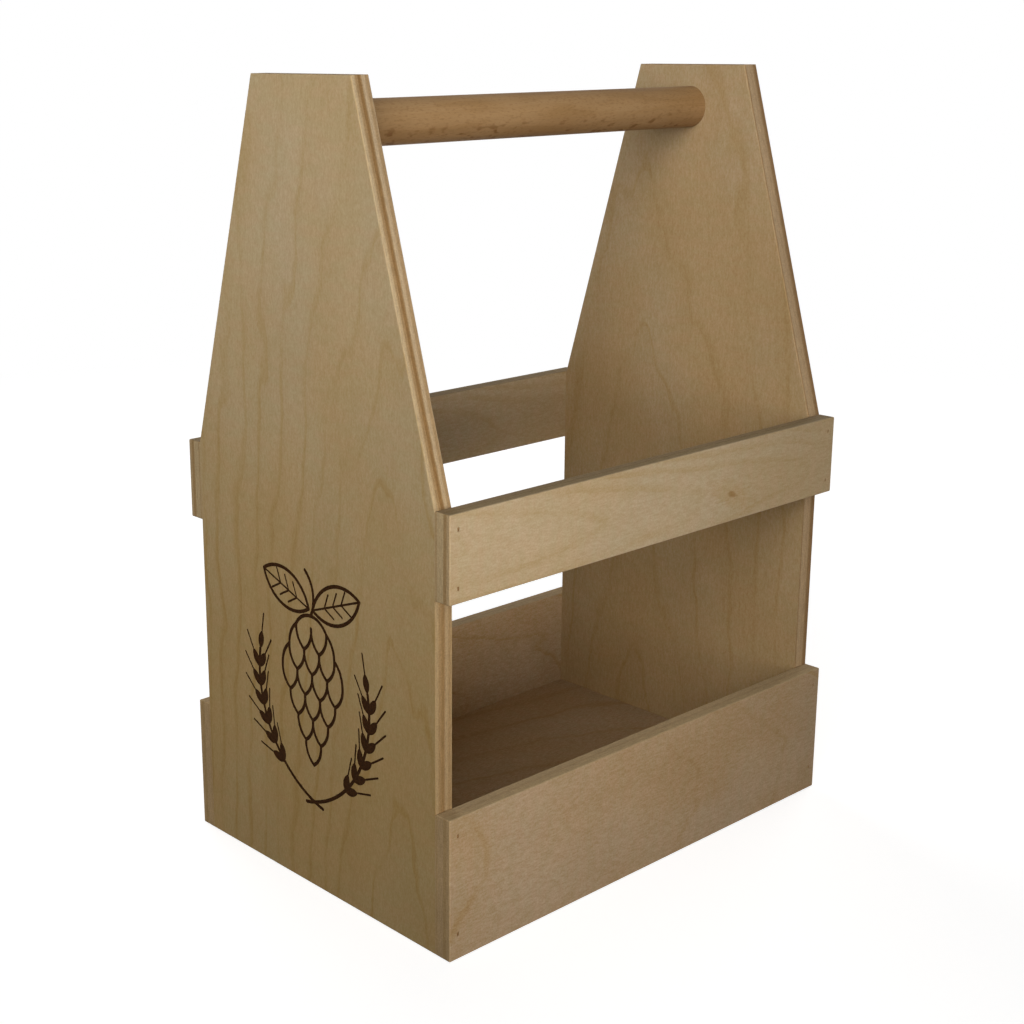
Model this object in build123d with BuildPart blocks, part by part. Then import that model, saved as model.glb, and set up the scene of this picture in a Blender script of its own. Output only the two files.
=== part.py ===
from build123d import *
import os

# Bottle caddy: an open plywood carrier with a round wooden handle between its end panels.
# Millimetres. +Z is up, X runs along the handle, the engraved end panel is at -X and the front at -Y.
# The origin is the centre of the footprint, on the surface that the caddy stands on.

# Outside of the whole caddy
caddy_length = 206.0
caddy_depth = 143.0
caddy_height = 290.0

# Plywood of each kind of piece
panel_thickness = 7.5
board_thickness = 7.0
base_thickness = 6.0
edge_ease = 0.5

# End panels: upright sides up to the top of the rails, then straight tapers to a flat top
panel_top_width = 52.5

# Front and back: a lower board, an open window above it, and an upper rail
lower_board_height = 52.0
window_height = 74.5
rail_height = 30.0

# Base board, held in a groove across the inner face of each end panel
base_raise = 3.5
groove_depth = 2.5
groove_clearance = 0.1

# Handle dowel, glued into a blind socket in each end panel
handle_diameter = 16.0
handle_drop = 16.5
socket_depth = 4.0
socket_clearance = 0.1
dowel_chamfer = 0.6

# Brads with flat wire and a wider head, driven through the boards into the panels' edges
brad_length = 22.0
brad_width = 0.8
brad_wire = 0.9
brad_head_length = 1.3
brad_head_thickness = 0.4
brad_set_depth = 0.3
brad_tip_length = 0.8
brad_tip_taper = 22.0
brad_clearance = 0.05
rail_brad_inset = 5.2
board_top_brad_inset = 6.5
board_bottom_brad_inset = 9.5

# Engraved hop cone between two barley ears, on the outer face of the left panel
motif_height = 92.0
motif_centre_height = 78.0
motif_line = 1.4
motif_fine_line = 0.8
motif_depth = 0.4
kernel_length = 7.5
kernel_width = 3.4
kernel_turn = 30.0
kernel_pairs = 6
bract_rows = (2, 3, 4, 3, 2, 1)

# How far a cut runs past the faces it opens
overrun = 1.0

# Sizes that follow from the ones above
panel_width = caddy_depth - 2 * board_thickness
inner_length = caddy_length - 2 * panel_thickness
rail_bottom = lower_board_height + window_height
rail_top = rail_bottom + rail_height
handle_height = caddy_height - handle_drop
panel_middle = (caddy_length - panel_thickness) / 2
rail_brads = (rail_bottom + rail_brad_inset, rail_top - rail_brad_inset)
board_brads = (board_bottom_brad_inset, lower_board_height - board_top_brad_inset)

# The two outer faces that the boards fill, each with its normal pointing out of the caddy
front_face = Plane(origin=(0, -caddy_depth / 2, 0), x_dir=(1, 0, 0), z_dir=(0, -1, 0))
back_face = Plane(origin=(0, caddy_depth / 2, 0), x_dir=(-1, 0, 0), z_dir=(0, 1, 0))


def brad_spots(face, end, heights):
    """Places of the brads of one end on a board's outer face; end is -1 for the left, 1 for the right."""
    across = end * panel_middle * face.x_dir.X
    return [(across, height) for height in heights]


def cut_brad_holes(face, end, heights):
    """Cuts the way of the brads of one end, with a wider seat for each head, out of the part in hand."""
    spots = brad_spots(face, end, heights)
    with BuildSketch(face) as head_seats:
        with Locations(*spots):
            Rectangle(brad_width + 2 * brad_clearance, brad_head_length + 2 * brad_clearance)
    extrude(head_seats.sketch, amount=-(brad_set_depth + brad_head_thickness), mode=Mode.SUBTRACT)
    with BuildSketch(face) as wire_holes:
        with Locations(*spots):
            Rectangle(brad_width + 2 * brad_clearance, brad_wire + 2 * brad_clearance)
    hole_depth = brad_set_depth + brad_length + brad_clearance
    extrude(wire_holes.sketch, amount=-hole_depth, mode=Mode.SUBTRACT)


# Shares of the engraving's height, with the zero of both directions at its centre
# Cone: the top of its first row of bracts, the drop and half width of a bract, the rise of its crown
cone_top_share = 0.240
bract_drop_share = 0.094
bract_half_share = 0.046
crown_rise_share = 0.052
# Shares of one bract, out and down, where its edge swells most, and where a growing row's side does
belly_shares = (0.86, 0.50)
side_belly_shares = (0.75, 0.45)
# Leaves: stalk end, tip, and how far each edge swells out from the straight line between them
leaf_root_shares = (0.012, 0.318)
leaf_tip_shares = (0.290, 0.420)
leaf_swell_share = 0.075
vein_shares = (0.26, 0.44, 0.62)
vein_slant_share = 0.14
vein_reach_share = 0.62
# Stalk: a short tendril above the cone
stalk_shares = ((0.0, 0.293), (0.016, 0.390), (-0.030, 0.470))
# Barley stem: from the foot, past its belly, to the base of its last kernel
stem_shares = ((-0.050, -0.495), (0.255, -0.290), (0.330, 0.070))
kernel_start_share = 0.36
awn_share = 0.075


def motif_point(shares, hand=1):
    """A place on the engraving from shares of its height, mirrored left to right when hand is -1."""
    return (hand * shares[0] * motif_height, shares[1] * motif_height)


def engrave_stroke(points, width=motif_line):
    """Adds a round-ended stroke to the engraving, along a line of two points or an arc of three."""
    with BuildLine() as stroke:
        if len(points) == 2:
            Line(*points)
        else:
            ThreePointArc(*points)
    SlotArc(stroke.wire(), height=width)


def engrave_cone():
    """Rows of bracts as scales: each tip meets the shoulders of the two bracts below it."""
    half = bract_half_share * motif_height
    drop = bract_drop_share * motif_height
    top = cone_top_share * motif_height
    crown = bract_rows[0] * half
    engrave_stroke(((-crown, top), (0, top + crown_rise_share * motif_height), (crown, top)))
    out_share, down_share = belly_shares
    side_out_share, side_down_share = side_belly_shares
    for row, count in enumerate(bract_rows):
        row_top = top - row * drop
        for place in range(count):
            centre = (2 * place + 1 - count) * half
            for hand in (-1, 1):
                shoulder = (centre + hand * half, row_top)
                belly = (centre + hand * half * out_share, row_top - drop * down_share)
                engrave_stroke((shoulder, belly, (centre, row_top - drop)))
        if count < max(bract_rows[row:]):
            for hand in (-1, 1):
                shoulder = (hand * count * half, row_top)
                belly = (hand * (count + side_out_share) * half, row_top - drop * side_down_share)
                engrave_stroke((shoulder, belly, (hand * (count + 1) * half, row_top - drop)))


def engrave_leaf(hand):
    """A pointed leaf beside the stalk: two swelling edges, a midrib and slanting veins."""
    root = Vector(*motif_point(leaf_root_shares, hand))
    tip = Vector(*motif_point(leaf_tip_shares, hand))
    along = tip - root
    aside = Vector(-along.Y, along.X).normalized() * leaf_swell_share * motif_height
    engrave_stroke((root, tip), width=motif_fine_line)
    for edge in (-1, 1):
        engrave_stroke((root, root + along / 2 + aside * edge, tip))
        for share in vein_shares:
            foot = root + along * share
            reach = along * vein_slant_share + aside * edge * vein_reach_share
            engrave_stroke((foot, foot + reach), width=motif_fine_line)


def engrave_ear(hand):
    """A barley ear: a bowed stem with pairs of kernels, one more on its end, and an awn on each."""
    stem_points = [motif_point(shares, hand) for shares in stem_shares]
    engrave_stroke(stem_points)
    with BuildLine() as stem_line:
        ThreePointArc(*stem_points)
    stem = stem_line.edge()
    kernels = [(1, 0)]
    for pair in range(kernel_pairs):
        share = kernel_start_share + (1 - kernel_start_share) * pair / kernel_pairs
        kernels += [(share, -1), (share, 1)]
    for share, side in kernels:
        aim = (stem % share).rotate(Axis.Z, side * kernel_turn)
        base = stem @ share
        tip = base + aim * kernel_length
        swell = Vector(-aim.Y, aim.X) * kernel_width / 2
        middle = (base + tip) / 2
        with BuildLine() as outline:
            ThreePointArc(base, middle + swell, tip)
            ThreePointArc(tip, middle - swell, base)
        make_face(outline.edges())
        engrave_stroke((tip, tip + aim * awn_share * motif_height), width=motif_fine_line)


def end_panel(end):
    """A house-shaped panel with its dowel socket, base groove and brad holes; end is -1 or 1."""
    outer_face = Plane(origin=(end * caddy_length / 2, 0, 0), x_dir=(0, end, 0), z_dir=(end, 0, 0))
    inner_face = Plane(origin=(end * inner_length / 2, 0, 0), x_dir=(0, -end, 0), z_dir=(-end, 0, 0))
    with BuildPart() as panel:
        with BuildSketch(outer_face):
            with BuildLine():
                Polyline(
                    (-panel_width / 2, 0),
                    (panel_width / 2, 0),
                    (panel_width / 2, rail_top),
                    (panel_top_width / 2, caddy_height),
                    (-panel_top_width / 2, caddy_height),
                    (-panel_width / 2, rail_top),
                    close=True,
                )
            make_face()
        extrude(amount=-panel_thickness)

        # The tapers, the top and the foot are sanded; the upright edges stay square under the boards
        upright = panel.edges().filter_by(Axis.Z)
        across = panel.edges().filter_by(Axis.X)
        fillet(panel.edges() - upright - across, radius=edge_ease)

        # Socket for the dowel and groove for the base board, both from the inner face
        with Locations(inner_face):
            with Locations((0, handle_height)):
                Hole(radius=handle_diameter / 2 + socket_clearance, depth=socket_depth)
        with BuildSketch(inner_face):
            with Locations((0, base_raise + (base_thickness + groove_clearance) / 2)):
                Rectangle(panel_width + 2 * overrun, base_thickness + groove_clearance)
        extrude(amount=-groove_depth, mode=Mode.SUBTRACT)

        for face in (front_face, back_face):
            cut_brad_holes(face, end, rail_brads + board_brads)
    return panel


# Left end panel, with the engraving cut into its outer face
end_panel_left = end_panel(-1)
motif_plane = Plane(
    origin=(-caddy_length / 2, 0, motif_centre_height), x_dir=(0, -1, 0), z_dir=(-1, 0, 0)
)
with BuildPart() as engraved_panel:
    add(end_panel_left.part)
    with BuildSketch(motif_plane):
        engrave_cone()
        engrave_stroke([motif_point(shares) for shares in stalk_shares])
        for hand in (-1, 1):
            engrave_leaf(hand)
            engrave_ear(hand)
    extrude(amount=-motif_depth, mode=Mode.SUBTRACT)
engraved_panel.part.label = "end_panel_left"

# Right end panel, plain
end_panel_right = end_panel(1)
end_panel_right.part.label = "end_panel_right"


def cross_board(face, bottom, height, brad_heights):
    """A rail or lower board behind an outer face of the caddy, nailed to both end panels."""
    with BuildPart() as board:
        with BuildSketch(face):
            with Locations((0, bottom + height / 2)):
                Rectangle(caddy_length, height)
        extrude(amount=-board_thickness)
        outward = Axis((0, 0, 0), tuple(face.z_dir))
        inner_ends = board.faces().sort_by(outward)[0].edges().filter_by(Axis.Z)
        fillet(board.edges() - inner_ends, radius=edge_ease)
        for end in (-1, 1):
            cut_brad_holes(face, end, brad_heights)
    return board


def brad_pair(face, end, heights):
    """The brads of one end of a board, heads set below its outer face and tips in the panel's edge."""
    spots = brad_spots(face, end, heights)
    head_bottom = brad_set_depth + brad_head_thickness
    wire_end = brad_set_depth + brad_length - brad_tip_length
    with BuildPart() as brads:
        with BuildSketch(face.offset(-brad_set_depth)):
            with Locations(*spots):
                Rectangle(brad_width, brad_head_length)
        extrude(amount=-brad_head_thickness)
        with BuildSketch(face.offset(-head_bottom)):
            with Locations(*spots):
                Rectangle(brad_width, brad_wire)
        extrude(amount=-(wire_end - head_bottom))
        with BuildSketch(face.offset(-wire_end)):
            with Locations(*spots):
                Rectangle(brad_width, brad_wire)
        extrude(amount=-brad_tip_length, taper=brad_tip_taper)
    return brads


# Upper rails and lower boards, front and back
boards = {
    "upper_rail_front": (front_face, rail_bottom, rail_height, rail_brads),
    "upper_rail_back": (back_face, rail_bottom, rail_height, rail_brads),
    "lower_board_front": (front_face, 0, lower_board_height, board_brads),
    "lower_board_back": (back_face, 0, lower_board_height, board_brads),
}

# Base board, resting on the lower side of both grooves, with its long edges against the lower boards
with BuildPart() as base_board:
    with BuildSketch(Plane.XY.offset(base_raise)):
        Rectangle(inner_length + 2 * (groove_depth - groove_clearance), panel_width)
    extrude(amount=base_thickness)
base_board.part.label = "base_board"

# Handle dowel, its ends at the bottom of both sockets
with BuildPart() as handle_dowel:
    with BuildSketch(Plane.YZ.offset(-(inner_length / 2 + socket_depth))):
        with Locations((0, handle_height)):
            Circle(handle_diameter / 2)
    extrude(amount=inner_length + 2 * socket_depth)
    chamfer(handle_dowel.edges().filter_by(GeomType.CIRCLE), length=dowel_chamfer)
handle_dowel.part.label = "handle_dowel"

# Every piece goes to its own file, named after its label
os.makedirs("parts", exist_ok=True)
for piece in (engraved_panel, end_panel_right, base_board, handle_dowel):
    export_step(piece.part, f"parts/{piece.part.label}.step")
for board_name, (face, bottom, height, brad_heights) in boards.items():
    board = cross_board(face, bottom, height, brad_heights)
    board.part.label = board_name
    export_step(board.part, f"parts/{board_name}.step")
    for end, end_name in ((-1, "left"), (1, "right")):
        brads = brad_pair(face, end, brad_heights)
        brads.part.label = f"{board_name}_brads_{end_name}"
        export_step(brads.part, f"parts/{brads.part.label}.step")
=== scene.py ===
import logging
import math
from dataclasses import dataclass, field
from enum import Enum
from functools import reduce
from typing import Sequence, Union

import bpy
import numpy as np
from mathutils import Matrix, Vector


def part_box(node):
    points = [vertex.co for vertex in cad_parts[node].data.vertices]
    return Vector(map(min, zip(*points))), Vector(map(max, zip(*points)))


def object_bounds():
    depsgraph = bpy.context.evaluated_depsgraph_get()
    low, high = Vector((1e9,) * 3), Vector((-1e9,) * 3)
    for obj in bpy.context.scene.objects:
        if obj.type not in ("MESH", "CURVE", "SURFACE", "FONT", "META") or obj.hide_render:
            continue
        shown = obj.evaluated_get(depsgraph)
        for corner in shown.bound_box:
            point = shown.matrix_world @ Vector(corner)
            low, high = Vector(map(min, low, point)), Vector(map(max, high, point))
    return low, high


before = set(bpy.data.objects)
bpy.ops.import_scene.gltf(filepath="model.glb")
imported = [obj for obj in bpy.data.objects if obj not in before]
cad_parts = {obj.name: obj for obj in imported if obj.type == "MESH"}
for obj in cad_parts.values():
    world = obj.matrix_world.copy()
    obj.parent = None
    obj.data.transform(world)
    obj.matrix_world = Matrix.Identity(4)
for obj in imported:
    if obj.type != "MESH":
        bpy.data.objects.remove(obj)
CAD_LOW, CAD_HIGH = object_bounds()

# Dresses the plywood caddy: birch veneer and ply edges, a beech dowel, brads, and a burnt engraving.
# Lamps, camera and floor stand in metres. Patterns are worked out in mm of the caddy's own frame.

log = logging.getLogger("caddy")

MM = 0.001
IMAGE_SIDE = 1024
SENSOR_WIDTH = 36.0
WHITE = (1.0, 1.0, 1.0)

NodeTree = bpy.types.NodeTree
Material = bpy.types.Material
Socket = bpy.types.NodeSocket
Outputs = bpy.types.bpy_prop_collection
Colour = tuple[float, float, float]
Patch = tuple[float, float]
Span = tuple[float, float]
Feed = Union[Socket, float, Sequence[float]]

# Spans of a noise's value: the middle of it, most of it, and as much as the fibres use.
MIDWAY: Span = (0.35, 0.65)
MOST: Span = (0.25, 0.75)
FIBRES: Span = (0.3, 0.7)


def linear(red: int, green: int, blue: int) -> Colour:
    """Turns a screen colour into linear light, by the usual curve of screens.

    Args:
        red, green, blue: The colour as it looks on a screen, 0 to 255.

    Returns:
        The same colour in linear light, 0 to 1.
    """
    shares = np.array([red, green, blue]) / 255
    low = shares / 12.92
    high = ((shares + 0.055) / 1.055) ** 2.4
    return tuple(float(v) for v in np.where(shares <= 0.04045, low, high))


def tinted(colour: Colour, tint: Colour) -> Colour:
    """Multiplies a colour by a tint, channel by channel."""
    return tuple(float(v) for v in np.array(colour) * np.array(tint))


class Axis(Enum):
    """An axis of the caddy's frame; the value is its place in a point."""

    X = 0
    Y = 1
    Z = 2


class NodeBoard:
    """A node tree under construction: puts nodes down and wires what feeds them."""

    def __init__(self, tree: NodeTree) -> None:
        """Starts on a material's, world's or group's node tree."""
        self.tree = tree

    def put(
        self, kind: str, feeds: dict[Union[int, str], Feed] | None = None, **settings: object
    ) -> bpy.types.Node:
        """Adds one node.

        Args:
            kind: The node's type name.
            feeds: What each input gets, by its name or place: a socket, a number or a vector.
            settings: Properties to set on the node first.

        Returns:
            The new node.
        """
        node = self.tree.nodes.new(kind)
        for name, value in settings.items():
            setattr(node, name, value)
        for key, feed in (feeds or {}).items():
            self.feed(node.inputs[key], feed)
        return node

    def feed(self, socket: Socket, feed: Feed) -> None:
        """Wires a socket to another one, or sets its value.

        Args:
            socket: The input.
            feed: What it gets.
        """
        if isinstance(feed, Socket):
            self.tree.links.new(feed, socket)
        else:
            socket.default_value = feed

    def math(self, operation: str, *terms: Feed, clamp: bool = False) -> Socket:
        """Adds one sum; clamp keeps its result between 0 and 1."""
        node = self.put("ShaderNodeMath", dict(enumerate(terms)), operation=operation, use_clamp=clamp)
        return node.outputs[0]

    def chain(self, operation: str, *terms: Feed) -> Socket:
        """Joins any number of values from the left, two at a time, by one operation."""
        return reduce(lambda so_far, term: self.math(operation, so_far, term), terms)

    def product(self, *terms: Feed) -> Socket:
        """Multiplies any number of values."""
        return self.chain("MULTIPLY", *terms)

    def total(self, *terms: Feed) -> Socket:
        """Adds up any number of values."""
        return self.chain("ADD", *terms)

    def step(self, value: Feed, start: float, end: float, low: float = 0.0, high: float = 1.0) -> Socket:
        """Adds a smooth step from low to high as value goes from start to end."""
        feeds = {0: value, 1: start, 2: end, 3: low, 4: high}
        return self.put("ShaderNodeMapRange", feeds, interpolation_type="SMOOTHSTEP").outputs[0]

    def about_one(self, value: Feed, strength: float) -> Socket:
        """Turns a noise into a level about 1 that goes up and down by a strength."""
        return self.step(value, *MOST, 1 - strength, 1 + strength)

    def noise(self, place: Feed, patch: Patch, detail: float = 2.0, roughness: float = 0.5) -> Socket:
        """Adds one noise, read at a place divided by the size of a patch along each axis.

        Args:
            place: Where it is read.
            patch: The patches' size along the first axis, which the third has too, and along the second.
            detail: Octaves after the first.
            roughness: Strength of each octave against the one before.

        Returns:
            The noise's value, from 0 to 1 with its mean at a half.
        """
        feeds = {0: place, 1: (*patch, patch[0])}
        scaled = self.put("ShaderNodeVectorMath", feeds, operation="DIVIDE").outputs[0]
        feeds = {"Vector": scaled, "Scale": 1.0, "Detail": detail, "Roughness": roughness}
        return self.put("ShaderNodeTexNoise", feeds).outputs[0]

    def sway(self, place: Feed, patch: Patch, amount: Feed, detail: float = 2.0) -> Socket:
        """Adds a noise about zero, times an amount."""
        centred = self.math("SUBTRACT", self.noise(place, patch, detail), 0.5)
        return self.product(centred, amount)

    def vector(self, x: Feed, y: Feed, z: Feed) -> Socket:
        """Joins three values into a vector."""
        return self.put("ShaderNodeCombineXYZ", {0: x, 1: y, 2: z}).outputs[0]

    def blend(self, share: Feed, below: Feed, above: Feed) -> Socket:
        """Adds a colour mix.

        Args:
            share: The upper colour's share.
            below: The colour at share 0.
            above: The colour at share 1.

        Returns:
            The mixed colour.
        """
        mix = self.put("ShaderNodeMix", {"Factor": share}, data_type="RGBA")
        for socket, shown in ((mix.inputs[6], below), (mix.inputs[7], above)):
            self.feed(socket, shown if isinstance(shown, Socket) else (*shown, 1.0))
        return mix.outputs[2]

    def shade(self, colour: Feed, level: Feed) -> Socket:
        """Multiplies a colour or a place by a level."""
        feeds = {0: colour, "Scale": level}
        return self.put("ShaderNodeVectorMath", feeds, operation="SCALE").outputs[0]

    def tint(self, colour: Feed, tint: Feed) -> Socket:
        """Multiplies a colour that changes over the surface by a tint, channel by channel."""
        return self.put("ShaderNodeVectorMath", {0: colour, 1: tint}, operation="MULTIPLY").outputs[0]

    def group(self, tree: NodeTree, feeds: dict[str, Feed]) -> Outputs:
        """Places a shader group, feeds its named inputs and gives its outputs."""
        return self.put("ShaderNodeGroup", feeds, node_tree=tree).outputs


@dataclass(frozen=True)
class GroupShell:
    """A shader group under construction: its tree, its board, what it is given and what it puts out."""

    tree: NodeTree
    board: NodeBoard
    given: list[Socket]
    result: bpy.types.Node

    @staticmethod
    def start(
        name: str, values: Sequence[str], outputs: Sequence[str], places: Sequence[str] = ()
    ) -> "GroupShell":
        """Makes an empty group.

        Args:
            name: The group's name.
            values: The names of its inputs that are plain values.
            outputs: The names of its outputs, which are all plain values.
            places: The names of its inputs that are places. What it is given has them last.

        Returns:
            The group, ready to be filled.
        """
        tree = bpy.data.node_groups.new(name, "ShaderNodeTree")
        for way, kind, names in (
            ("INPUT", "NodeSocketFloat", values), ("INPUT", "NodeSocketVector", places),
            ("OUTPUT", "NodeSocketFloat", outputs),
        ):
            for port in names:
                tree.interface.new_socket(port, in_out=way, socket_type=kind)
        board = NodeBoard(tree)
        sockets = board.put("NodeGroupInput").outputs
        given = [sockets[port] for port in (*values, *places)]
        return GroupShell(tree, board, given, board.put("NodeGroupOutput"))

    def finish(self, **outputs: Socket) -> NodeTree:
        """Wires the outputs.

        Args:
            outputs: What each output puts out, by its name.

        Returns:
            The finished group.
        """
        for name, socket in outputs.items():
            self.board.feed(self.result.inputs[name], socket)
        return self.tree


@dataclass(frozen=True)
class VeneerPattern:
    """The figure of peeled veneer. Patches are (across, along) the grain, in mm.

    A height lies over the sheet, and its level lines, one for each whole number, are the growth rings.
    With r the distance across the grain from a wandering ridge, the height is
    slope * (sqrt(r^2 + tip^2) - tip) + bowl * r^2 + rise * along * exp(-(r / reach)^2) + three noises.
    Dividing the height's step from a level line by its gradient gives the distance from that line in mm.
    """

    ridge_wander: float = 14.0
    ridge_patch: Patch = (1.0, 90.0)
    long_wave: Patch = (26.0, 85.0)
    short_wave: Patch = (13.0, 28.0)
    short_wave_share: float = 0.46
    jitter: Patch = (2.2, 9.0)
    jitter_share: float = 0.035
    least_gradient: float = 0.018
    line_rise: Span = (-0.9, -0.1)
    line_fall: Span = (0.2, 2.7)
    late_wood: Span = (0.05, 0.5)
    fade_patch: Patch = (18.0, 45.0)
    fade_span: Span = (0.34, 0.60)
    faintest: float = 0.25
    cloud_patch: Patch = (30.0, 52.0)
    cloud_roughness: float = 0.45
    warmth_patch: Patch = (42.0, 70.0)

    def build(self) -> NodeTree:
        """Makes the group.

        Returns:
            A group that takes the place across and along the grain in mm and the figure's values.
            It gives the growth lines, the late wood before them, and two slow clouds.
        """
        names = ("Across", "Along", "Seed", "Offset", "Ridge", "Slope", "Tip", "Bowl", "Rise", "Reach",
                 "Wander")
        shell = GroupShell.start("veneer figure", names, ("Line", "Late", "Cloud", "Warmth"))
        board = shell.board
        across, along, seed, offset, ridge, slope, tip, bowl, rise, reach, wander = shell.given
        sheet = board.vector(across, along, seed)

        drift = board.sway(board.vector(seed, along, seed), self.ridge_patch, self.ridge_wander)
        from_ridge = board.math("SUBTRACT", across, ridge)
        r = board.math("SUBTRACT", from_ridge, board.product(drift, wander))
        r_squared = board.product(r, r)
        q = board.math("SQRT", board.math("MULTIPLY_ADD", tip, tip, r_squared))
        flank = board.product(slope, board.math("SUBTRACT", q, tip))
        exponent = board.math("DIVIDE", r_squared, board.product(reach, reach, -1.0))
        climb = board.product(rise, board.math("EXPONENT", exponent))
        waves = [
            board.sway(sheet, self.long_wave, wander),
            board.sway(sheet, self.short_wave, board.product(wander, self.short_wave_share)),
            board.sway(sheet, self.jitter, self.jitter_share, detail=1.0),
        ]
        bowed = board.product(bowl, r_squared)
        height = board.total(flank, bowed, board.product(climb, along), offset, *waves)

        on_flank = board.math("DIVIDE", board.product(slope, r), q)
        steep = board.total(on_flank, board.product(bowl, r, 2.0))
        squares = board.product(steep, steep), board.product(climb, climb), self.least_gradient ** 2
        gradient = board.math("SQRT", board.total(*squares))
        phase = board.math("FRACT", height)
        from_line = board.math("DIVIDE", board.math("SUBTRACT", phase, 0.5), gradient)
        rising = board.step(from_line, *self.line_rise)
        falling = board.step(from_line, *self.line_fall, 1.0, 0.0)
        fading = board.step(board.noise(sheet, self.fade_patch), *self.fade_span, self.faintest, 1.0)
        return shell.finish(
            Line=board.product(rising, falling, fading),
            Late=board.product(board.step(phase, *self.late_wood), falling, fading),
            Cloud=board.noise(sheet, self.cloud_patch, roughness=self.cloud_roughness),
            Warmth=board.noise(board.vector(along, across, seed), self.warmth_patch[::-1]),
        )


@dataclass(frozen=True)
class FibrePattern:
    """Fine wood fibres, short pores and a faint ripple. Patches are (across, along) the grain, in mm."""

    fine: Patch = (0.32, 5.0)
    fine_roughness: float = 0.6
    broad: Patch = (1.5, 22.0)
    broad_share: float = 0.45
    fleck: Patch = (0.8, 2.8)
    speck: Patch = (0.55, 0.85)
    pore: Patch = (0.38, 3.0)
    pore_limit: float = 0.86
    pore_reach: float = 0.2
    pore_gain: float = 14.0
    ripple: Patch = (9.0, 4.0)

    def build(self) -> NodeTree:
        """Makes the group.

        Returns:
            A group that takes a place in mm whose second coordinate runs along the grain, and gives the
            fibres' value, the pores' mask, flecks, finer specks and a ripple.
        """
        outputs = ("Fibre", "Pore", "Fleck", "Speck", "Ripple")
        shell = GroupShell.start("fibres and pores", ("Pore Density",), outputs, places=("Place",))
        board = shell.board
        density, place = shell.given
        fine = board.noise(place, self.fine, roughness=self.fine_roughness)
        broad = board.product(board.noise(place, self.broad), self.broad_share)
        limit = board.math("MULTIPLY_ADD", density, -self.pore_reach, self.pore_limit)
        over = board.math("SUBTRACT", board.noise(place, self.pore, detail=0.0), limit)
        return shell.finish(
            Fibre=board.math("MULTIPLY_ADD", fine, 1 - self.broad_share, broad),
            Pore=board.math("MULTIPLY", over, self.pore_gain, clamp=True),
            Fleck=board.noise(place, self.fleck, detail=1.0),
            Speck=board.noise(place, self.speck, detail=1.0, roughness=self.fine_roughness),
            Ripple=board.noise(place, self.ripple, detail=1.0),
        )


@dataclass(frozen=True)
class PlyPattern:
    """The place of a point in the stack of plies, for the cut edges. Sizes are in mm.

    The share of the thickness wavers by two noises times 4 * share * (1 - share), which is 1 halfway
    and 0 on both faces.
    """

    drift_patch: Patch = (70.0, 70.0)
    drift_share: float = 0.14
    waver_patch: Patch = (11.0, 11.0)
    waver_share: float = 0.05
    face_skin: Span = (0.10, 0.30)
    saw_patch: Patch = (0.55, 0.55)
    saw_roughness: float = 0.6
    streak_patch: Patch = (0.30, 5.0)

    def build(self) -> NodeTree:
        """Makes the group.

        Returns:
            A group that takes the depth below the outer face, the thickness and the run along the edge
            in mm, and a place. It gives the share of the thickness, a mask that is 0 on both faces and 1
            on the edges, the saw's grit, and streaks that run along the plies.
        """
        shell = GroupShell.start("ply stack", ("Depth", "Thickness", "Run"),
                                 ("Share", "Edge", "Grit", "Streak"), places=("Place",))
        board = shell.board
        depth, thickness, run, place = shell.given
        drift = board.sway(place, self.drift_patch, self.drift_share, detail=0.0)
        waver = board.sway(place, self.waver_patch, self.waver_share, detail=3.0)
        share = board.math("DIVIDE", depth, thickness)
        inside = board.product(share, board.math("SUBTRACT", 1.0, share), 4.0)
        from_outer = board.step(depth, *self.face_skin)
        from_inner = board.step(board.math("SUBTRACT", thickness, depth), *self.face_skin)
        return shell.finish(
            Share=board.total(share, board.product(inside, board.total(drift, waver))),
            Edge=board.product(from_outer, from_inner),
            Grit=board.noise(place, self.saw_patch, detail=3.0, roughness=self.saw_roughness),
            Streak=board.noise(board.vector(depth, run, 0.0), self.streak_patch),
        )


@dataclass(frozen=True)
class WoodPatterns:
    """The patterns that more than one wooden finish uses, each a shader group built once."""

    veneer: NodeTree
    fibres: NodeTree
    plies: NodeTree


@dataclass(frozen=True)
class Surface:
    """A material under construction: its board, its shader, and the place on the piece in mm."""

    material: Material
    board: NodeBoard
    shader: bpy.types.Node
    place: Socket

    @staticmethod
    def start(name: str) -> "Surface":
        """Makes a material with a plain shader.

        Args:
            name: The material's name.

        Returns:
            The material, ready to be wired.
        """
        material = bpy.data.materials.new(name)
        material.use_nodes = True
        board = NodeBoard(material.node_tree)
        place = board.shade(board.put("ShaderNodeTexCoord").outputs["Object"], 1 / MM)
        return Surface(material, board, material.node_tree.nodes["Principled BSDF"], place)

    def finish(
        self, colour: Feed, rough: Feed, relief: Feed, bump: Span, levels: dict[str, float]
    ) -> Material:
        """Wires the shader.

        Args:
            colour: The base colour.
            rough: The roughness.
            relief: The height of the relief, 0 to 1.
            bump: How far that height stands out in mm, and the share of it that shows.
            levels: The shader's plain values, by the socket's name.

        Returns:
            The finished material.
        """
        feeds = {"Height": relief, "Distance": bump[0] * MM, "Strength": bump[1]}
        normal = self.board.put("ShaderNodeBump", feeds).outputs[0]
        wires = {"Base Color": colour, "Roughness": rough, "Normal": normal, **levels}
        for name, feed in wires.items():
            self.board.feed(self.shader.inputs[name], feed)
        return self.material


@dataclass(frozen=True)
class Ply:
    """One ply on a cut edge: where it ends, as a share of the sheet's thickness, and its colour."""

    end: float
    colour: Colour


@dataclass(frozen=True)
class Sheet:
    """How one plywood piece was cut: its grain, and the way its thickness runs. Sizes are in metres."""

    grain: Axis
    across: Axis
    depth_axis: Axis
    outer_face: float
    inward: int
    thickness: float


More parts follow.
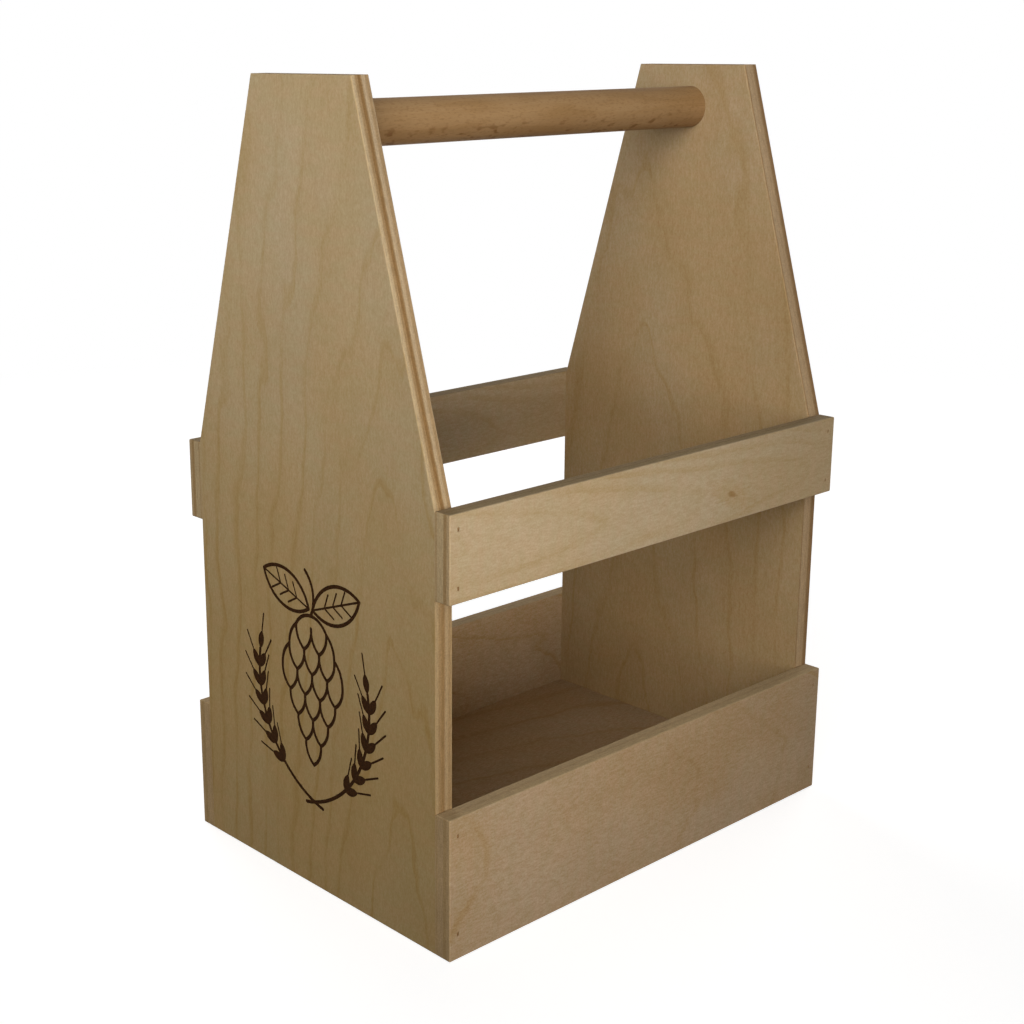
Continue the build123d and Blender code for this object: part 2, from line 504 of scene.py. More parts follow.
@dataclass(frozen=True)
class Figure:
    """Where the growth rings of one sheet run, in mm across and along its grain.

    Attributes:
        seed: Picks the sheet's own noises.
        ridge: Where the arches' tips lie across the grain.
        first_tip: Where along the grain one of the tips lies.
        spacing: Distance between tips along the ridge.
        bowl: Rings per square mm, for rings that get closer away from the ridge.
        reach: How far from the ridge the arches are felt.
        slope: Rings per mm, far from the ridge.
        tip: How round the tips are.
        middle: Where along the grain the arches lean neither way.
        wander: How unsteady the rings are.
        lean: How far the ridge shifts across the grain for each mm along it.
        quiet: A place along the grain, and how far round it the rings hardly show.
        quiet_edge: Where the quiet place starts and ends to fade, as shares of that distance.
        quiet_level: How strongly the rings show in it.
    """

    seed: float
    ridge: float
    first_tip: float
    spacing: float
    bowl: float
    reach: float = 300.0
    slope: float = 0.0
    tip: float = 6.0
    middle: float = 0.0
    wander: float = 1.0
    lean: float = 0.0
    quiet: Patch | None = None
    quiet_edge: Span = (0.6, 1.3)
    quiet_level: float = 0.25

    def feeds(self, board: NodeBoard, across: Feed, along: Feed) -> dict[str, Feed]:
        """Gives the veneer group's inputs, with a line through the first tip.

        Args:
            board: The material's board.
            across, along: The place on the sheet in mm.

        Returns:
            What each input gets.
        """
        rise = 1 / self.spacing
        return {
            "Across": board.math("MULTIPLY_ADD", along, -self.lean, across),
            "Along": board.math("SUBTRACT", along, self.middle), "Seed": self.seed,
            "Offset": 0.5 - (self.first_tip - self.middle) * rise, "Ridge": self.ridge,
            "Slope": self.slope, "Tip": self.tip, "Bowl": self.bowl, "Rise": rise,
            "Reach": self.reach, "Wander": self.wander,
        }

    def clearness(self, board: NodeBoard, along: Feed) -> Feed:
        """Gives how clearly the rings show, which is less round the quiet place.

        Args:
            board: The material's board.
            along: The place along the grain in mm.

        Returns:
            The share of their strength.
        """
        if self.quiet is None:
            return 1.0
        centre, reach = self.quiet
        away = board.math("ABSOLUTE", board.math("SUBTRACT", along, centre))
        start, end = (reach * share for share in self.quiet_edge)
        return board.step(away, start, end, self.quiet_level, 1.0)


@dataclass(frozen=True)
class SheetReading:
    """A point's place on its sheet in mm, and what the shared patterns say there."""

    board: NodeBoard
    across: Socket
    along: Socket
    depth: Socket
    height: Socket
    veneer: Outputs
    fibres: Outputs
    plies: Outputs

    @staticmethod
    def take(
        surface: Surface, sheet: Sheet, figure: Figure, patterns: WoodPatterns, pore_density: float
    ) -> "SheetReading":
        """Places the shared patterns in a material.

        Args:
            surface: The material.
            sheet: How the piece was cut.
            figure: Where its growth rings run.
            patterns: The shared shader groups.
            pore_density: How many pores show, 0 to 1.

        Returns:
            The reading.
        """
        board = surface.board
        parts = board.put("ShaderNodeSeparateXYZ", {0: surface.place}).outputs
        axes = (sheet.across, sheet.grain, sheet.depth_axis)
        across, along, through = (parts[axis.value] for axis in axes)
        from_face = board.math("SUBTRACT", through, sheet.outer_face / MM)
        depth = board.product(from_face, float(sheet.inward))
        laid = board.vector(across, along, through)
        fibres = board.group(patterns.fibres, {"Place": laid, "Pore Density": pore_density})
        plies = board.group(patterns.plies, {
            "Depth": depth, "Thickness": sheet.thickness / MM, "Run": board.total(along, across),
            "Place": surface.place})
        veneer = board.group(patterns.veneer, figure.feeds(board, across, along))
        return SheetReading(board, across, along, depth, parts[Axis.Z.value], veneer, fibres, plies)


@dataclass(frozen=True)
class Burn:
    """The scorched floor of the engraving, by its place on the panel in mm."""

    low: Patch
    high: Patch
    shallow: float = 0.04
    deep: float = 0.46
    soft: float = 0.03
    core: Colour = linear(36, 17, 1)
    rim: Colour = linear(60, 34, 9)
    rough: float = 0.85

    def mask(self, at: SheetReading) -> Socket:
        """Finds the engraving: inside its box on the panel, and between its shallow and deep depths.

        Args:
            at: The reading of the panel.

        Returns:
            The mask.
        """
        board = at.board
        inside = [
            board.step(at.depth, self.shallow, self.shallow + self.soft),
            board.step(at.depth, self.deep, self.deep + self.soft, 1.0, 0.0),
        ]
        for value, low, high in zip((at.across, at.along), self.low, self.high):
            inside += [board.math("GREATER_THAN", value, low), board.math("LESS_THAN", value, high)]
        return board.product(*inside)


@dataclass(frozen=True)
class Knot:
    """A pin knot in a face: a small dark slanted core in a soft warm ring. Sizes are in mm.

    The distance from its centre is sqrt((u / width)^2 + (v / length)^2), with u and v along the slanted
    axes, and each zone fades out as that distance goes through the fade's span.
    """

    across: float
    along: float
    slant: float = math.radians(24.0)
    core: Patch = (1.15, 2.8)
    core_tint: Colour = (0.70, 0.58, 0.40)
    core_strength: float = 0.9
    halo: Patch = (4.5, 13.0)
    halo_tint: Colour = (0.95, 0.89, 0.76)
    halo_strength: float = 0.75
    fraying: float = 0.9
    fade: Span = (0.55, 1.45)

    def paint(self, at: SheetReading, colour: Feed) -> Socket:
        """Lays the knot over the veneer's colour, frayed by the flecks' noise.

        Args:
            at: The reading of the sheet.
            colour: The veneer's colour.

        Returns:
            The colour with the knot.
        """
        board = at.board
        uneven = board.math("SUBTRACT", at.fibres["Fleck"], 0.5)
        u = board.math("SUBTRACT", at.across, self.across)
        v = board.math("SUBTRACT", at.along, self.along)
        cos, sin = math.cos(self.slant), math.sin(self.slant)
        turned_u = board.total(board.product(u, cos), board.product(v, sin))
        turned_v = board.math("SUBTRACT", board.product(v, cos), board.product(u, sin))
        for (width, length), tint, strength in (
            (self.halo, self.halo_tint, self.halo_strength),
            (self.core, self.core_tint, self.core_strength),
        ):
            far_u, far_v = board.math("DIVIDE", turned_u, width), board.math("DIVIDE", turned_v, length)
            squares = board.total(board.product(far_u, far_u), board.product(far_v, far_v))
            frayed = board.math("MULTIPLY_ADD", uneven, self.fraying, board.math("SQRT", squares))
            share = board.step(frayed, *self.fade, strength, 0.0)
            colour = board.blend(share, colour, board.tint(colour, tint))
        return colour


@dataclass(frozen=True)
class BirchFinish:
    """Bare sanded birch plywood.

    Attributes:
        pale: The early wood's colour.
        end_plies: The plies on the edges that the grain ends at.
        side_plies: The plies on the edges along the grain.
        painted_foot_shade: Painted shade, darker and warmer towards the floor: what the colour is
            multiplied by low down, which fades out over foot_span in mm.
        foot_shade_on_edges: How much less of that painted shade the cut edges have.
        upright_shade_tone: Painted shade: a darker colour laid over the cut edges below upright_height,
        where they stand upright.
        line_gain_low: How much stronger the growth lines are low down.
        mottle_reach: How far red, green and blue follow the mottling.
        end_skin: How far inside the piece's ends the end edge starts, and is full, in mm.
        rough: The face's roughness, from its smoothest to its roughest fibres.
    """

    patterns: WoodPatterns
    pale: Colour
    end_plies: tuple[Ply, ...]
    side_plies: tuple[Ply, ...]
    line_tint: Colour = (0.90, 0.81, 0.64)
    late_tint: Colour = (0.95, 0.93, 0.87)
    late_share: float = 0.55
    warm_tint: Colour = (1.0, 0.955, 0.87)
    blush_tint: Colour = (1.02, 0.975, 0.98)
    pore_tint: Colour = (0.80, 0.73, 0.62)
    pore_share: float = 0.35
    pore_density: float = 0.5
    painted_foot_shade: Colour = WHITE
    foot_span: Span = (60.0, 262.0)
    foot_shade_on_edges: float = 0.5
    upright_shade_tone: Colour = linear(150, 123, 88)
    upright_height: float = 0.0
    upright_fade: float = 2.0
    upright_shade_share: float = 0.45
    line_strength: float = 0.85
    line_gain_low: float = 0.0
    cloud_strength: float = 0.06
    fibre_strength: float = 0.05
    fleck_strength: float = 0.09
    speck_strength: float = 0.11
    ripple_strength: float = 0.02
    grit_strength: float = 0.13
    streak_strength: float = 0.14
    mottle: float = 1.0
    mottle_reach: Colour = (0.5, 0.7, 1.15)
    end_skin: Span = (0.3, 0.1)
    ply_blur: float = 0.022
    rough: Span = (0.60, 0.72)
    edge_rough: float = 0.92
    saw_relief: float = 0.8
    pore_relief: float = 0.4
    bump: Span = (0.03, 0.5)
    gloss: float = 0.12

    def material(
        self, name: str, sheet: Sheet, figure: Figure, half_length: float, burn: Burn | None = None,
        knot: Knot | None = None,
    ) -> Material:
        """Builds the finish for one piece.

        Args:
            name: The material's name.
            sheet: How the piece was cut.
            figure: Where its growth rings run.
            half_length: Half of the piece's length along the grain in mm, where its ends lie.
            burn: The engraving on the outer face, if the piece has one.
            knot: A pin knot in its face, if it has one.

        Returns:
            The material.
        """
        surface = Surface.start(name)
        board = surface.board
        at = SheetReading.take(surface, sheet, figure, self.patterns, self.pore_density)
        cut, fibre = at.plies["Edge"], at.fibres["Fibre"]
        low_down = board.step(at.height, *self.foot_span, 1.0, 0.0)
        face = self.face(at, figure.clearness(board, at.along), low_down, knot)
        colour = board.blend(cut, face, self.edge(at, half_length))
        # Painted shade: the colour turns darker and warmer towards the floor, less so on the cut edges.
        painted_shade_share = board.product(low_down, board.math("MULTIPLY_ADD", cut, -self.foot_shade_on_edges, 1.0))
        colour = board.blend(painted_shade_share, colour, board.tint(colour, self.painted_foot_shade))

        rough = board.step(fibre, *FIBRES, *self.rough)
        rough = board.math("MAXIMUM", rough, board.product(cut, self.edge_rough))
        if burn is not None:
            scorch = burn.mask(at)
            char = board.blend(board.step(at.plies["Grit"], *MIDWAY), burn.core, burn.rim)
            colour = board.blend(scorch, colour, char)
            rough = board.math("MAXIMUM", rough, board.product(scorch, burn.rough))
        raised = board.total(fibre, board.product(at.plies["Grit"], cut, self.saw_relief))
        relief = board.math("SUBTRACT", raised, board.product(at.fibres["Pore"], self.pore_relief))
        return surface.finish(colour, rough, relief, self.bump, {"Specular IOR Level": self.gloss})

    def face(self, at: SheetReading, clear: Feed, low_down: Feed, knot: Knot | None) -> Socket:
        """Works out the veneer's colour: its woods, its growth lines, its knot, its pores, its mottling.

        The mottling is a level about 1 that darkens towards brown. It multiplies the colour by
        1 + mottle * reach * (level - 1), where blue has the longest reach and red the shortest.

        Args:
            at: The reading of the sheet.
            clear: How clearly the growth rings show.
            low_down: One low down on the piece, and zero high up.
            knot: The pin knot, if there is one.

        Returns:
            The colour.
        """
        board, fibres = at.board, at.fibres
        late = board.product(at.veneer["Late"], clear, self.late_share)
        face = board.blend(late, self.pale, tinted(self.pale, self.late_tint))
        for value, tint in ((at.veneer["Warmth"], self.warm_tint), (fibres["Ripple"], self.blush_tint)):
            face = board.blend(board.step(value, *MIDWAY), face, board.tint(face, tint))
        strength = board.math("MULTIPLY_ADD", low_down, self.line_gain_low, self.line_strength)
        line = board.math("MULTIPLY", board.product(at.veneer["Line"], clear), strength, clamp=True)
        face = board.blend(line, face, tinted(self.pale, self.line_tint))
        if knot is not None:
            face = knot.paint(at, face)
        pores = board.product(fibres["Pore"], self.pore_share)
        face = board.blend(pores, face, board.tint(face, self.pore_tint))
        level = board.product(
            board.about_one(at.veneer["Cloud"], self.cloud_strength),
            board.about_one(fibres["Fibre"], self.fibre_strength),
            board.about_one(fibres["Fleck"], self.fleck_strength),
            board.about_one(fibres["Speck"], self.speck_strength),
            board.about_one(fibres["Ripple"], self.ripple_strength),
        )
        off = board.product(board.math("SUBTRACT", level, 1.0), self.mottle)
        feeds = {0: off, 1: self.mottle_reach, 2: WHITE}
        levels = board.put("ShaderNodeVectorMath", feeds, operation="MULTIPLY_ADD").outputs[0]
        return board.tint(face, levels)

    def edge(self, at: SheetReading, half_length: float) -> Socket:
        """Works out the colour of the cut edges: their plies, with the saw's grit and streaks.

        Args:
            at: The reading of the sheet.
            half_length: Half of the piece's length along the grain in mm.

        Returns:
            The colour.
        """
        board, plies = at.board, at.plies
        start, full = (half_length - skin for skin in self.end_skin)
        at_end = board.step(board.math("ABSOLUTE", at.along), start, full)
        side, end = (
            self.cut_edge(board, plies["Share"], cut) for cut in (self.side_plies, self.end_plies))
        edge = board.blend(at_end, side, end)
        # Painted shade: below the upright height the cut edge is pulled part of the way towards one
        # darker colour.
        if self.upright_height > 0:
            fade = self.upright_height - self.upright_fade, self.upright_height + self.upright_fade
            upright_shade = board.step(at.height, *fade, self.upright_shade_share, 0.0)
            edge = board.blend(upright_shade, edge, self.upright_shade_tone)
        level = board.product(
            board.about_one(plies["Grit"], self.grit_strength),
            board.about_one(plies["Streak"], self.streak_strength),
            board.about_one(at.veneer["Cloud"], self.cloud_strength),
        )
        return board.shade(edge, level)

    def cut_edge(self, board: NodeBoard, share: Feed, plies: Sequence[Ply]) -> Socket:
        """Lays the plies across a cut edge, with a narrow soft change from each to the next.

        Args:
            board: The material's board.
            share: The place in the stack, from 0 at the outer face to 1 at the inner one.
            plies: The stack, from the outer face.

        Returns:
            The ply's colour.
        """
        node = board.put("ShaderNodeValToRGB", {0: share})
        elements = node.color_ramp.elements
        for element, ply in zip(elements, (plies[0], plies[-1])):
            element.color = (*ply.colour, 1.0)
        for ply, following in zip(plies, plies[1:]):
            for place, shown in ((ply.end - self.ply_blur, ply), (ply.end + self.ply_blur, following)):
                elements.new(place).color = (*shown.colour, 1.0)
        return node.outputs[0]


@dataclass(frozen=True)
class BeechFinish:
    """Bare sanded beech, turned round, with short dark flecks along the grain. Patches are in mm.

    The growth rings are the whole numbers of growth_sway * noise + growth_rise * height.
    """

    patterns: WoodPatterns
    light: Colour = linear(159, 126, 86)
    warm: Colour = linear(144, 110, 69)
    growth_patch: Patch = (14.0, 120.0)
    growth_sway: float = 5.0
    growth_rise: float = 0.3
    ring_span: Span = (0.2, 0.95)
    ring_share: float = 0.25
    cloud_patch: Patch = (9.0, 32.0)
    cloud_share: float = 0.6
    fleck: Colour = linear(124, 89, 53)
    fleck_patch: Patch = (0.55, 1.9)
    fleck_span: Span = (0.48, 0.74)
    fleck_share: float = 0.38
    spot_and_shade_colour: Colour = linear(108, 71, 36)
    spot_patch: Patch = (2.0, 4.5)
    spot_span: Span = (0.56, 0.72)
    spot_share: float = 0.6
    # Below the axis the dark spots show, and a fixed share of painted shade darkens the whole underside
    # towards the spot colour.
    underside: Span = (1.0, -5.0)
    painted_underside_shade: float = 0.22
    fibre_strength: float = 0.06
    pore_density: float = 0.8
    fleck_relief: float = 0.4
    rough: Span = (0.58, 0.70)
    bump: Span = (0.03, 0.5)
    gloss: float = 0.15

    def material(self, name: str, handle_height: float) -> Material:
        """Builds the finish.

        Args:
            name: The material's name.
            handle_height: The height of the dowel's axis in metres.

        Returns:
            The material.
        """
        surface = Surface.start(name)
        board = surface.board
        x, y, z = board.put("ShaderNodeSeparateXYZ", {0: surface.place}).outputs
        height = board.math("SUBTRACT", z, handle_height / MM)
        laid = board.vector(y, x, height)
        fibres = board.group(self.patterns.fibres, {"Place": laid, "Pore Density": self.pore_density})
        sway = board.noise(laid, self.growth_patch)
        rise = board.product(height, self.growth_rise)
        growth = board.math("MULTIPLY_ADD", sway, self.growth_sway, rise)
        ring = board.step(board.math("FRACT", growth), *self.ring_span)
        slow = board.noise(laid, self.cloud_patch, detail=3.0)
        cloud = board.step(slow, *MIDWAY, 0.0, self.cloud_share)
        mixed = board.math("MULTIPLY_ADD", ring, self.ring_share, cloud)
        colour = board.blend(mixed, self.light, self.warm)
        flecks, spots = (
            board.step(board.noise(laid, patch, detail=1.0), *span)
            for patch, span in ((self.fleck_patch, self.fleck_span), (self.spot_patch, self.spot_span)))
        colour = board.blend(board.product(flecks, self.fleck_share), colour, self.fleck)
        # Real spots plus painted shade: the underside darkens towards the spot colour even where there
        # are no spots.
        spots_and_shade = board.math("MULTIPLY_ADD", spots, self.spot_share, self.painted_underside_shade)
        colour = board.blend(board.product(spots_and_shade, board.step(height, *self.underside)), colour, self.spot_and_shade_colour)
        colour = board.shade(colour, board.about_one(fibres["Fibre"], self.fibre_strength))
        relief = board.math("SUBTRACT", fibres["Fibre"], board.product(flecks, self.fleck_relief))
        rough = board.step(fibres["Fibre"], *FIBRES, *self.rough)
        return surface.finish(colour, rough, relief, self.bump, {"Specular IOR Level": self.gloss})


@dataclass(frozen=True)
class BradFinish:
    """Brown-coated steel wire, dulled in its hole. The patch is in mm."""

    coat: Colour = linear(126, 88, 44)
    worn: Colour = linear(150, 112, 64)
    worn_span: Span = (0.45, 0.7)
    patch: Patch = (0.5, 0.5)
    rough: Span = (0.62, 0.45)
    bump: Span = (0.05, 0.4)
    metal: float = 0.25

    def material(self, name: str) -> Material:
        """Builds the finish.

        Args:
            name: The material's name.

        Returns:
            The material.
        """
        surface = Surface.start(name)
        board = surface.board
        patches = board.noise(surface.place, self.patch)
        colour = board.blend(board.step(patches, *self.worn_span), self.coat, self.worn)
        rough = board.step(patches, *FIBRES, *self.rough)
        return surface.finish(colour, rough, patches, self.bump, {"Metallic": self.metal})


def stack(*rows: tuple[float, int, int, int]) -> tuple[Ply, ...]:
    """Lists plies from the outer face: where each one ends, and its colour on a screen."""
    return tuple(Ply(end, linear(*screen)) for end, *screen in rows)


LEFT_PANEL_PLIES = stack(
    (0.04, 160, 138, 104), (0.18, 174, 151, 117), (0.24, 163, 138, 102), (0.38, 148, 120, 83),
    (0.54, 131, 99, 61), (0.60, 148, 120, 84), (0.75, 172, 149, 117), (0.80, 164, 139, 106),
    (0.93, 153, 126, 91), (1.0, 165, 140, 107))
RIGHT_PANEL_PLIES = stack(
    (0.27, 142, 111, 76), (0.36, 156, 127, 91), (0.62, 172, 144, 109), (0.88, 177, 150, 116),
    (0.95, 158, 129, 93), (1.0, 144, 114, 78))
RAIL_END_PLIES = stack(
    (0.22, 166, 141, 105), (0.43, 149, 121, 82), (0.86, 170, 147, 110), (1.0, 158, 131, 93))
RAIL_SIDE_PLIES = stack(
    (0.12, 166, 146, 114), (0.45, 151, 131, 97), (0.60, 145, 123, 90), (1.0, 150, 129, 96))
BOARD_END_PLIES = stack(
    (0.24, 166, 139, 100), (0.46, 158, 130, 90), (0.86, 167, 140, 102), (1.0, 162, 134, 94))
BOARD_SIDE_PLIES = stack(
    (0.12, 176, 153, 115), (0.45, 171, 147, 109), (0.60, 164, 139, 102), (1.0, 170, 146, 109))


@dataclass
class EndPanels:
    """The two house-shaped end panels, with the engraving on the left one."""

    left_finish: BirchFinish
    right_finish: BirchFinish
    thickness: float = 7.5 * MM
    burn: Burn = Burn(low=(-48.0, 30.0), high=(48.0, 126.0))
    left_figure: Figure = Figure(
        seed=3.7, ridge=-48.0, first_tip=150.0, spacing=55.0, bowl=0.00025, reach=85.0, slope=0.045,
        middle=190.0, wander=1.6)
    right_figure: Figure = Figure(
        seed=11.2, ridge=20.0, first_tip=180.0, spacing=70.0, bowl=0.0002, reach=55.0, slope=0.040,
        tip=8.0, middle=120.0, wander=1.2)

    def dress(self) -> None:
        """Gives both panels their plywood."""
        cuts = (
            ("left", "birch, engraved end", self.left_finish, self.left_figure, CAD_LOW.x, 1, self.burn),
            ("right", "birch, plain end", self.right_finish, self.right_figure, CAD_HIGH.x, -1, None),
        )
        for side, title, finish, figure, outer_face, inward, engraving in cuts:
            sheet = Sheet(grain=Axis.Z, across=Axis.Y, depth_axis=Axis.X, outer_face=outer_face,
                          inward=inward, thickness=self.thickness)
            made = finish.material(title, sheet, figure, CAD_HIGH.z / MM, burn=engraving)
            put_finish(f"end_panel_{side}", made)


@dataclass
class CrossBoards:
    """The rails and lower boards of the front and back, each cut from another place of the sheet."""

    rail_finish: BirchFinish
    board_finish: BirchFinish
    thickness: float = 7.0 * MM
    front_knot: Knot = Knot(across=137.0, along=40.0)
    front_rail: Figure = Figure(
        seed=21.4, ridge=139.6, first_tip=-40.0, spacing=61.0, bowl=0.007, wander=0.7, lean=-0.045)
    back_rail: Figure = Figure(
        seed=42.1, ridge=136.0, first_tip=12.0, spacing=48.0, bowl=0.006, wander=0.9)
    front_board: Figure = Figure(
        seed=26.7, ridge=23.5, first_tip=-86.0, spacing=55.0, bowl=0.0005, wander=0.45, lean=-0.1,
        quiet=(-28.0, 42.0))
    back_board: Figure = Figure(seed=47.4, ridge=12.0, first_tip=-40.0, spacing=70.0, bowl=0.0008)

    def dress(self) -> None:
        """Gives the four boards their plywood."""
        front, back = (
            Sheet(grain=Axis.X, across=Axis.Z, depth_axis=Axis.Y, outer_face=outer_face, inward=inward,
                  thickness=self.thickness)
            for outer_face, inward in ((CAD_LOW.y, 1), (CAD_HIGH.y, -1)))
        cuts = (
            ("upper_rail_front", self.rail_finish, front, self.front_rail, self.front_knot),
            ("upper_rail_back", self.rail_finish, back, self.back_rail, None),
            ("lower_board_front", self.board_finish, front, self.front_board, None),
            ("lower_board_back", self.board_finish, back, self.back_board, None),
        )
        for node, finish, sheet, figure, knot in cuts:
            title = "birch, " + node.replace("_", " ")
            put_finish(node, finish.material(title, sheet, figure, CAD_HIGH.x / MM, knot=knot))


@dataclass
class BaseBoard:
    """The board that the load stands on."""

    finish: BirchFinish
    figure: Figure = Figure(
        seed=51.6, ridge=-12.0, first_tip=30.0, spacing=60.0, bowl=0.0003, reach=70.0, slope=0.03,
        tip=8.0)

    def dress(self) -> None:
        """Gives the base board its plywood."""
        low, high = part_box("base_board")
        sheet = Sheet(grain=Axis.X, across=Axis.Y, depth_axis=Axis.Z, outer_face=high.z, inward=-1,
                      thickness=high.z - low.z)
        made = self.finish.material("birch, base", sheet, self.figure, high.x / MM)
        put_finish("base_board", made)


@dataclass
class Handle:
    """The beech dowel between the end panels."""

    finish: BeechFinish

    def dress(self) -> None:
        """Gives the dowel its beech."""
        low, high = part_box("handle_dowel")
        put_finish("handle_dowel", self.finish.material("beech, dowel", (low.z + high.z) / 2))


@dataclass
class Brads:
    """The brads at both ends of every board."""

    finish: BradFinish

    def dress(self) -> None:
        """Gives all brads one finish."""
        coat = self.finish.material("brown coated wire")
        for node in sorted(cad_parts):
            if "_brads_" in node:
                put_finish(node, coat)


def put_finish(node: str, material: Material) -> None:
    """Assigns a material to every slot of a CAD node.

    Args:
        node: The node's name.
        material: Its new material.
    """
    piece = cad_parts[node]
    for slot in piece.material_slots:
        slot.material = material
    log.info("%s: %s, %d slots", node, material.name, len(piece.material_slots))


@dataclass
class Camera:
    """The photograph's camera, from a fit to the caddy's straight edges. Angles are in degrees."""

    place: Vector = field(default_factory=lambda: Vector((-446.742, -438.711, 300.798)) * MM)
    heading: float = 48.746
    downward: float = 14.848
    roll: float = 0.469
    focal_pixels: float = 1673.682
    centre_pixels: tuple[float, float] = (397.374, 482.286)
    clip: Span = (0.01, 50.0)

    def build(self) -> None:
        """Adds the camera, turned by its heading, its downward pitch and its roll."""
        heading, pitch, roll = (math.radians(v) for v in (self.heading, self.downward, self.roll))
        level = math.cos(pitch)
        ahead = Vector((level * math.cos(heading), level * math.sin(heading), -math.sin(pitch)))
        level_right = Vector((math.sin(heading), -math.cos(heading), 0.0))
        level_down = ahead.cross(level_right)
        right = math.cos(roll) * level_right + math.sin(roll) * level_down
        up = math.sin(roll) * level_right - math.cos(roll) * level_down
        data = bpy.data.cameras.new("camera")
        data.sensor_width = SENSOR_WIDTH
        data.lens = self.focal_pixels / IMAGE_SIDE * SENSOR_WIDTH
        data.shift_x = 0.5 - self.centre_pixels[0] / IMAGE_SIDE
        data.shift_y = self.centre_pixels[1] / IMAGE_SIDE - 0.5
        data.clip_start, data.clip_end = self.clip
        camera = bpy.data.objects.new("camera", data)
        turn = Matrix((right, up, -ahead)).transposed().to_4x4()
        camera.matrix_world = Matrix.Translation(self.place) @ turn
        bpy.context.scene.collection.objects.link(camera)
        bpy.context.scene.camera = camera
        log.info("camera: lens %.2f mm, shift %.3f, %.3f", data.lens, data.shift_x, data.shift_y)


@dataclass(frozen=True)
class Softbox:
    """One square studio lamp, aimed at a point. Places are in metres, and the spread in degrees."""

    name: str
    place: tuple[float, float, float]
    aim: tuple[float, float, float]
    side: float
    power: float
    spread: float

    def build(self) -> None:
        """Adds the lamp."""
        data = bpy.data.lights.new(self.name, "AREA")
        data.shape = "SQUARE"
        data.size = self.side
        data.energy = self.power
        data.spread = math.radians(self.spread)
        lamp = bpy.data.objects.new(self.name, data)
        lamp.visible_camera = False
        towards = Vector(self.aim) - Vector(self.place)
        turn = towards.to_track_quat("-Z", "Y").to_matrix().to_4x4()
        lamp.matrix_world = Matrix.Translation(self.place) @ turn
        bpy.context.scene.collection.objects.link(lamp)
        log.info("lamp %s: %.1f W", self.name, self.power)


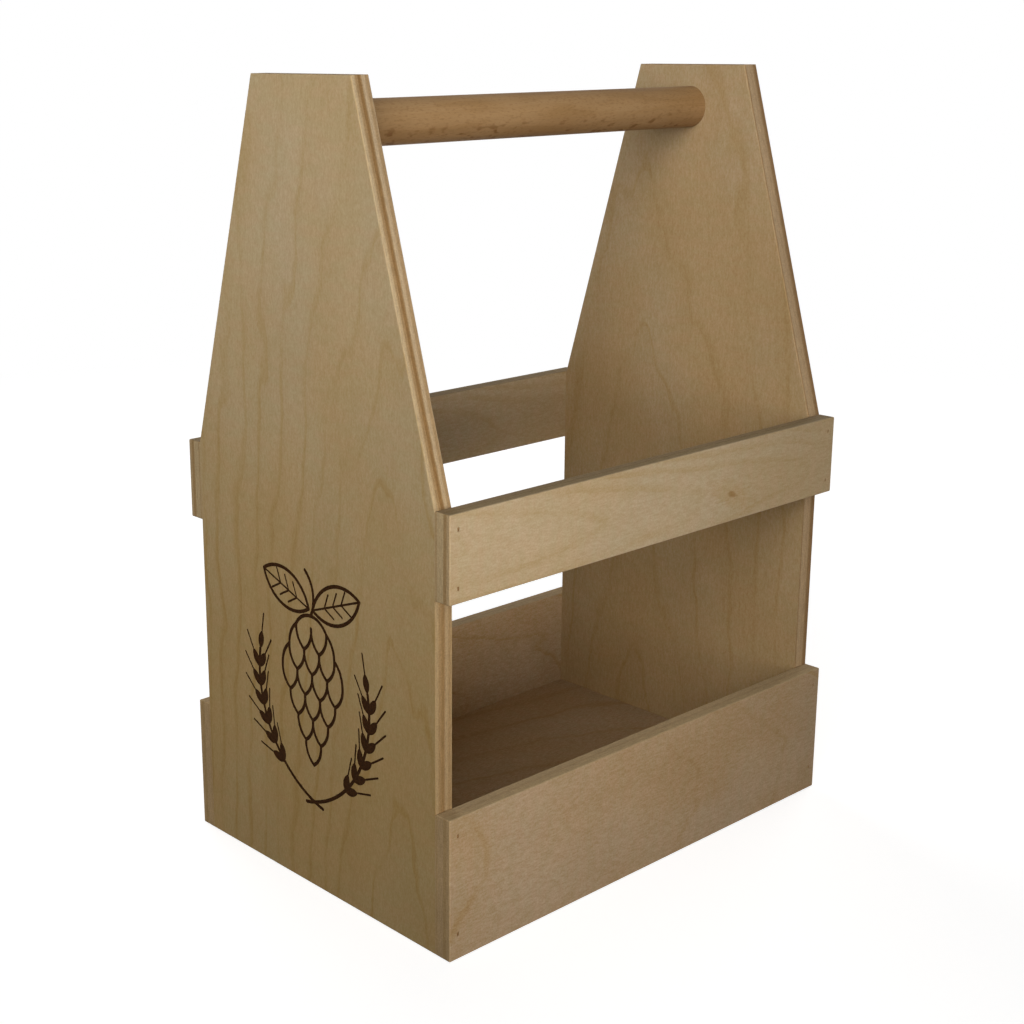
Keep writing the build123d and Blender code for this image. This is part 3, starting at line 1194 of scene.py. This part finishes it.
@dataclass
class Studio:
    """A pale floor, a white surround and soft lamps. Sizes are in metres.

    The floor glows to the eye and takes the lamps' light as paint. The paint's share is largest round
    the caddy and fades out with distance, so that its shadow shows and the floor meets the surround.
    """

    floor_half: float = 8.0
    paint_share: float = 0.60
    paint_level: float = 0.44
    paint_span: Span = (0.12, 1.0)
    floor_bounce: float = 0.15
    surround_level: float = 0.09
    surround_colour: Colour = (1.0, 0.97, 0.92)
    lamps: tuple[Softbox, ...] = (
        Softbox("key", place=(-0.818, -0.435, 0.627), aim=(-0.111, 0.107, 0.520), side=0.70, power=2.98,
                spread=82.0),
        Softbox("low front", place=(-0.165, -0.609, 0.156), aim=(-0.125, 0.085, 0.180), side=0.20,
                power=0.47, spread=84.0),
        Softbox("back", place=(0.30, 1.22, 0.18), aim=(0.0, 0.0, 0.15), side=0.6, power=5.8,
                spread=120.0),
        Softbox("right side", place=(1.28, 0.30, 0.18), aim=(0.0, 0.0, 0.15), side=0.6, power=5.8,
                spread=120.0),
    )

    def build(self) -> None:
        """Adds the floor, the surround and the lamps, and sets the plain view transform."""
        bpy.context.scene.view_settings.view_transform = "Standard"
        self.build_floor()
        self.build_surround()
        for lamp in self.lamps:
            lamp.build()

    @staticmethod
    def seen(board: NodeBoard) -> Socket:
        """Gives one on rays that show the ground as background: to the eye, off gloss, through glass."""
        path = board.put("ShaderNodeLightPath").outputs
        return board.chain(
            "MAXIMUM", path["Is Camera Ray"], path["Is Glossy Ray"], path["Is Transmission Ray"])

    def build_floor(self) -> None:
        """Adds the floor: a flat square, pale to the eye, that gives back little light."""
        signs = np.array([[-1.0, -1.0, 0.0], [1.0, -1.0, 0.0], [1.0, 1.0, 0.0], [-1.0, 1.0, 0.0]])
        mesh = bpy.data.meshes.new("floor")
        mesh.from_pydata((signs * self.floor_half).tolist(), [], [(0, 1, 2, 3)])
        floor = bpy.data.objects.new("floor", mesh)
        bpy.context.scene.collection.objects.link(floor)
        made = bpy.data.materials.new("pale floor")
        made.use_nodes = True
        tree = made.node_tree
        tree.nodes.remove(tree.nodes["Principled BSDF"])
        board = NodeBoard(tree)
        point = board.put("ShaderNodeTexCoord").outputs["Object"]
        away = board.put("ShaderNodeVectorMath", {0: point}, operation="LENGTH").outputs["Value"]
        share = board.step(away, *self.paint_span, self.paint_share, 0.0)
        strength = board.math("MULTIPLY_ADD", share, -self.paint_level, 1.0)
        glow = board.put("ShaderNodeEmission", {"Color": (*WHITE, 1.0), "Strength": strength})
        paint = board.put("ShaderNodeBsdfDiffuse", {"Color": board.vector(share, share, share)})
        shown = board.put("ShaderNodeAddShader", {0: glow.outputs[0], 1: paint.outputs[0]}).outputs[0]
        grey = (self.floor_bounce, self.floor_bounce, self.floor_bounce, 1.0)
        bounce = board.put("ShaderNodeBsdfDiffuse", {"Color": grey}).outputs[0]
        mixed = board.put("ShaderNodeMixShader", {0: self.seen(board), 1: bounce, 2: shown}).outputs[0]
        board.feed(tree.nodes["Material Output"].inputs["Surface"], mixed)
        mesh.materials.append(made)

    def build_surround(self) -> None:
        """Adds the surround: white to the eye, and a low even light on the object."""
        world = bpy.data.worlds.new("surround")
        world.use_nodes = True
        bpy.context.scene.world = world
        board = NodeBoard(world.node_tree)
        dim = tuple(self.surround_level * channel for channel in self.surround_colour)
        glow = board.blend(self.seen(board), dim, WHITE)
        board.feed(world.node_tree.nodes["Background"].inputs["Color"], glow)


def main() -> None:
    """Builds the studio and dresses every sub-assembly in order."""
    logging.basicConfig(level=logging.INFO, format="%(name)s: %(message)s")
    Camera().build()
    Studio().build()
    patterns = WoodPatterns(VeneerPattern().build(), FibrePattern().build(), PlyPattern().build())
    # Both panels get painted shade low down, and the left one also on its cut edge below the rail.
    left_finish = BirchFinish(
        patterns, linear(173, 154, 120), LEFT_PANEL_PLIES, LEFT_PANEL_PLIES,
        painted_foot_shade=(0.87, 0.79, 0.60), upright_height=156.5, line_strength=0.58, line_gain_low=0.47,
        mottle=0.85)
    right_finish = BirchFinish(
        patterns, linear(165, 143, 108), RIGHT_PANEL_PLIES, RIGHT_PANEL_PLIES,
        painted_foot_shade=(0.95, 0.91, 0.82), line_strength=0.7)
    rail_finish = BirchFinish(
        patterns, linear(172, 153, 122), RAIL_END_PLIES, RAIL_SIDE_PLIES, line_strength=0.53)
    board_finish = BirchFinish(
        patterns, linear(167, 143, 111), BOARD_END_PLIES, BOARD_SIDE_PLIES, line_strength=0.95,
        mottle=1.4)
    EndPanels(left_finish, right_finish).dress()
    CrossBoards(rail_finish, board_finish).dress()
    BaseBoard(board_finish).dress()
    Handle(BeechFinish(patterns)).dress()
    Brads(BradFinish()).dress()


if __name__ == "__main__":
    main()
